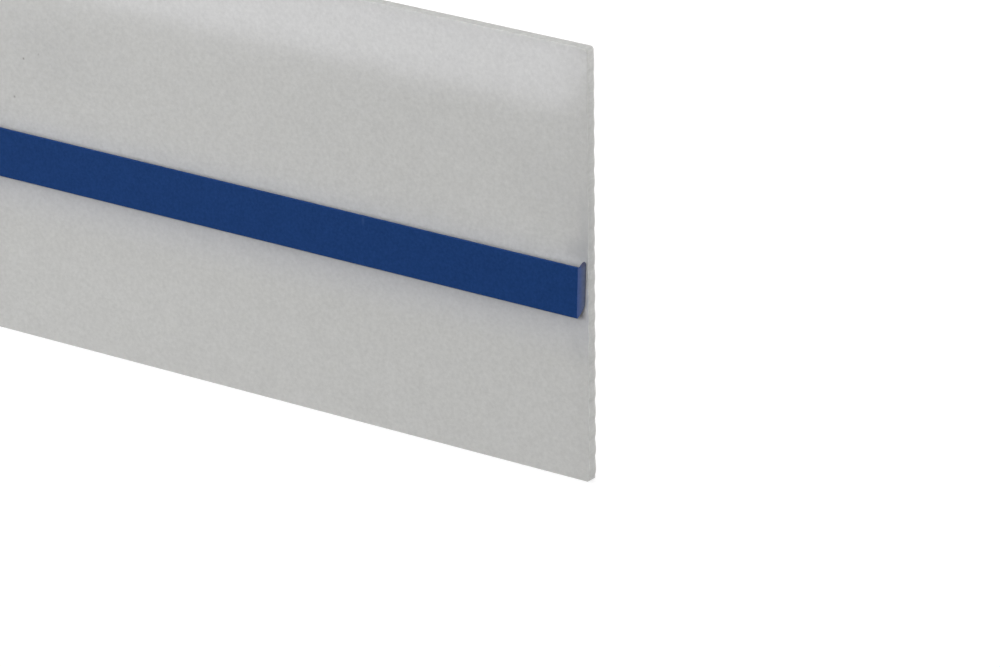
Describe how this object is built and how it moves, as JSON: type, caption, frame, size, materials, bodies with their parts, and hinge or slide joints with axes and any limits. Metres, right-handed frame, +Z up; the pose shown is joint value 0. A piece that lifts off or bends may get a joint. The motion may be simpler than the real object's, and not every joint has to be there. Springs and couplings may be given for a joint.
{
  "type": "dock bumper strip",
  "caption": "Length of flat off-white plastic board with a raised blue rub strip along it, sawn square at its ends.",
  "frame": {"origin": "under the middle of the board, on the flat back face that it rests on", "axes": "+X runs along the stock towards the rippled saw cut, +Y runs across the board to the edge that is farther from the strip, +Z points up out of the face that carries the strip"},
  "size_m": [1, 0.2, 0.012],
  "materials": {
    "board_plastic": "off-white, slightly translucent polyethylene with a satin extruded face and sawn ends",
    "strip_plastic": "dark blue polyethylene with a satin extruded face, greyer where it was sawn"
  },
  "bodies": {
    "root": {"board": "board_plastic", "rub_strip": "strip_plastic"}
  },
  "joints": []
}
